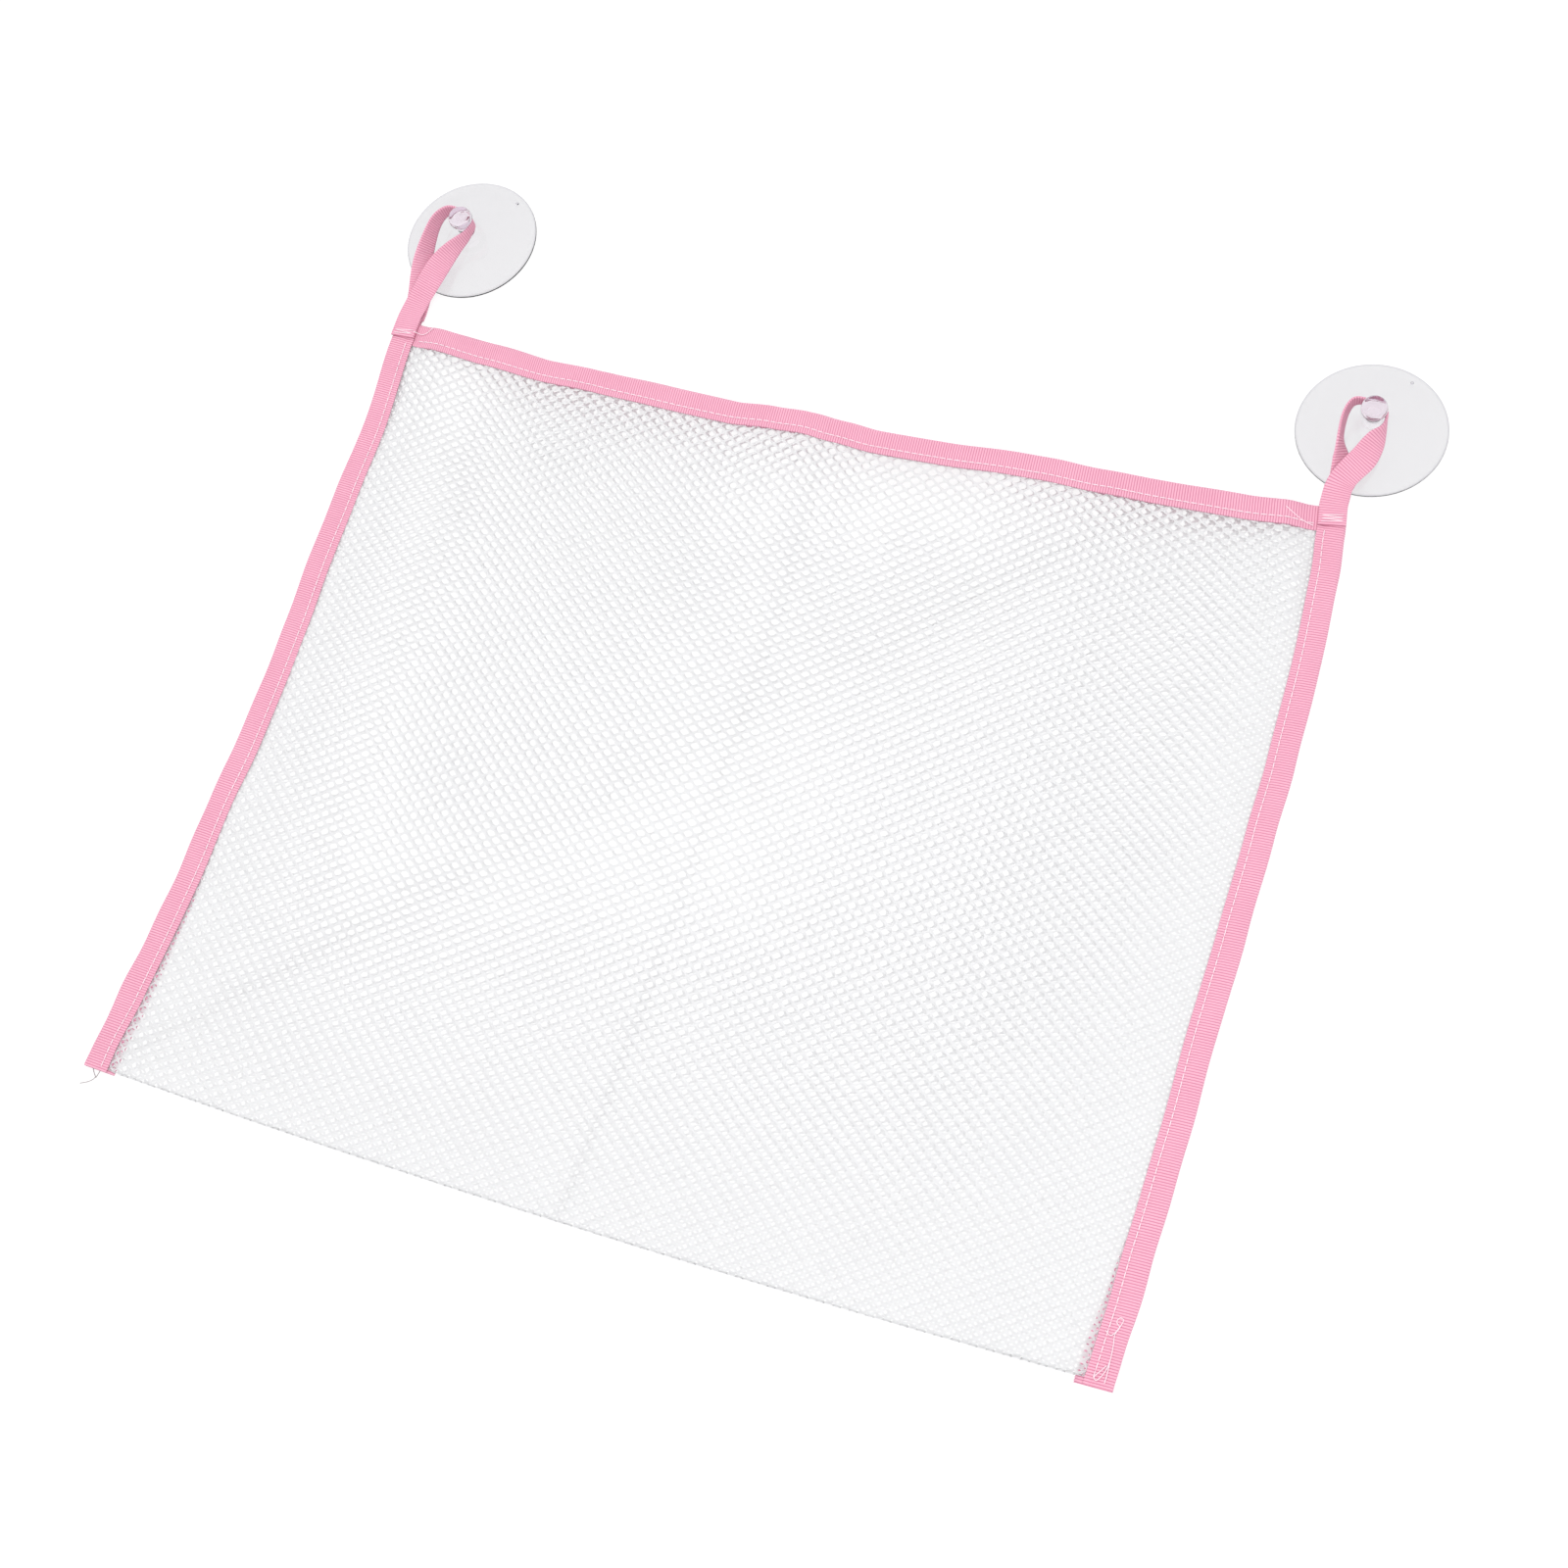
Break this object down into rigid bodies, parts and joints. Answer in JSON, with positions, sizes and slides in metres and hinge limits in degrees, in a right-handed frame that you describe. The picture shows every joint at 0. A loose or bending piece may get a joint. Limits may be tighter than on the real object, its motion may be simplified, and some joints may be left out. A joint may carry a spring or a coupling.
{
  "type": "hanging mesh shower organizer",
  "caption": "Flat net bag with taped edges, an open mouth and hanging loops on clear suction cups, for toys or bottles on a bathroom wall.",
  "frame": {"origin": "middle of the outline, on the surface the bag lies on", "axes": "+X along the mouth, +Y from the bottom fold towards the loops (up when hung), +Z away from the wall side"},
  "size_m": [0.4636, 0.4312, 0.021],
  "materials": {
    "net": "matte",
    "tape": "matte",
    "thread": "matte",
    "cup": "gloss"
  },
  "bodies": {
    "bag": {"back_net": "net", "back_mouth_binding": "tape", "left_side_binding": "tape", "right_side_binding": "tape", "back_mouth_stitching": "thread", "left_side_stitching": "thread", "right_side_stitching": "thread"},
    "front": {"front_net": "net", "front_mouth_binding": "tape", "front_mouth_stitching": "thread"},
    "left_loop": {"left_hanging_loop": "tape", "left_loop_stitching": "thread"},
    "right_loop": {"right_hanging_loop": "tape", "right_loop_stitching": "thread"},
    "left_cup": {"left_suction_cup": "cup"},
    "right_cup": {"right_suction_cup": "cup"}
  },
  "joints": [
    {"name": "mouth_opening", "type": "hinge", "parent": "bag", "child": "front", "pos_m": [0, -0.21126, 0.0024], "axis": [1, 0, 0], "range_deg": [0, 10]},
    {"name": "left_loop_fold", "type": "hinge", "parent": "bag", "child": "left_loop", "pos_m": [-0.21355, 0.14469, 0.002], "axis": [1, 0, 0], "range_deg": [0, 80]},
    {"name": "right_loop_fold", "type": "hinge", "parent": "bag", "child": "right_loop", "pos_m": [0.19545, 0.14459, 0.00335], "axis": [1, 0, 0], "range_deg": [0, 80]},
    {"name": "left_cup_turn", "type": "hinge", "parent": "left_loop", "child": "left_cup", "pos_m": [-0.20185, 0.18564, 0.0119], "axis": [0, 0, 1], "continuous": true},
    {"name": "right_cup_turn", "type": "hinge", "parent": "right_loop", "child": "right_cup", "pos_m": [0.20185, 0.17674, 0.0119], "axis": [0, 0, 1], "continuous": true}
  ]
}
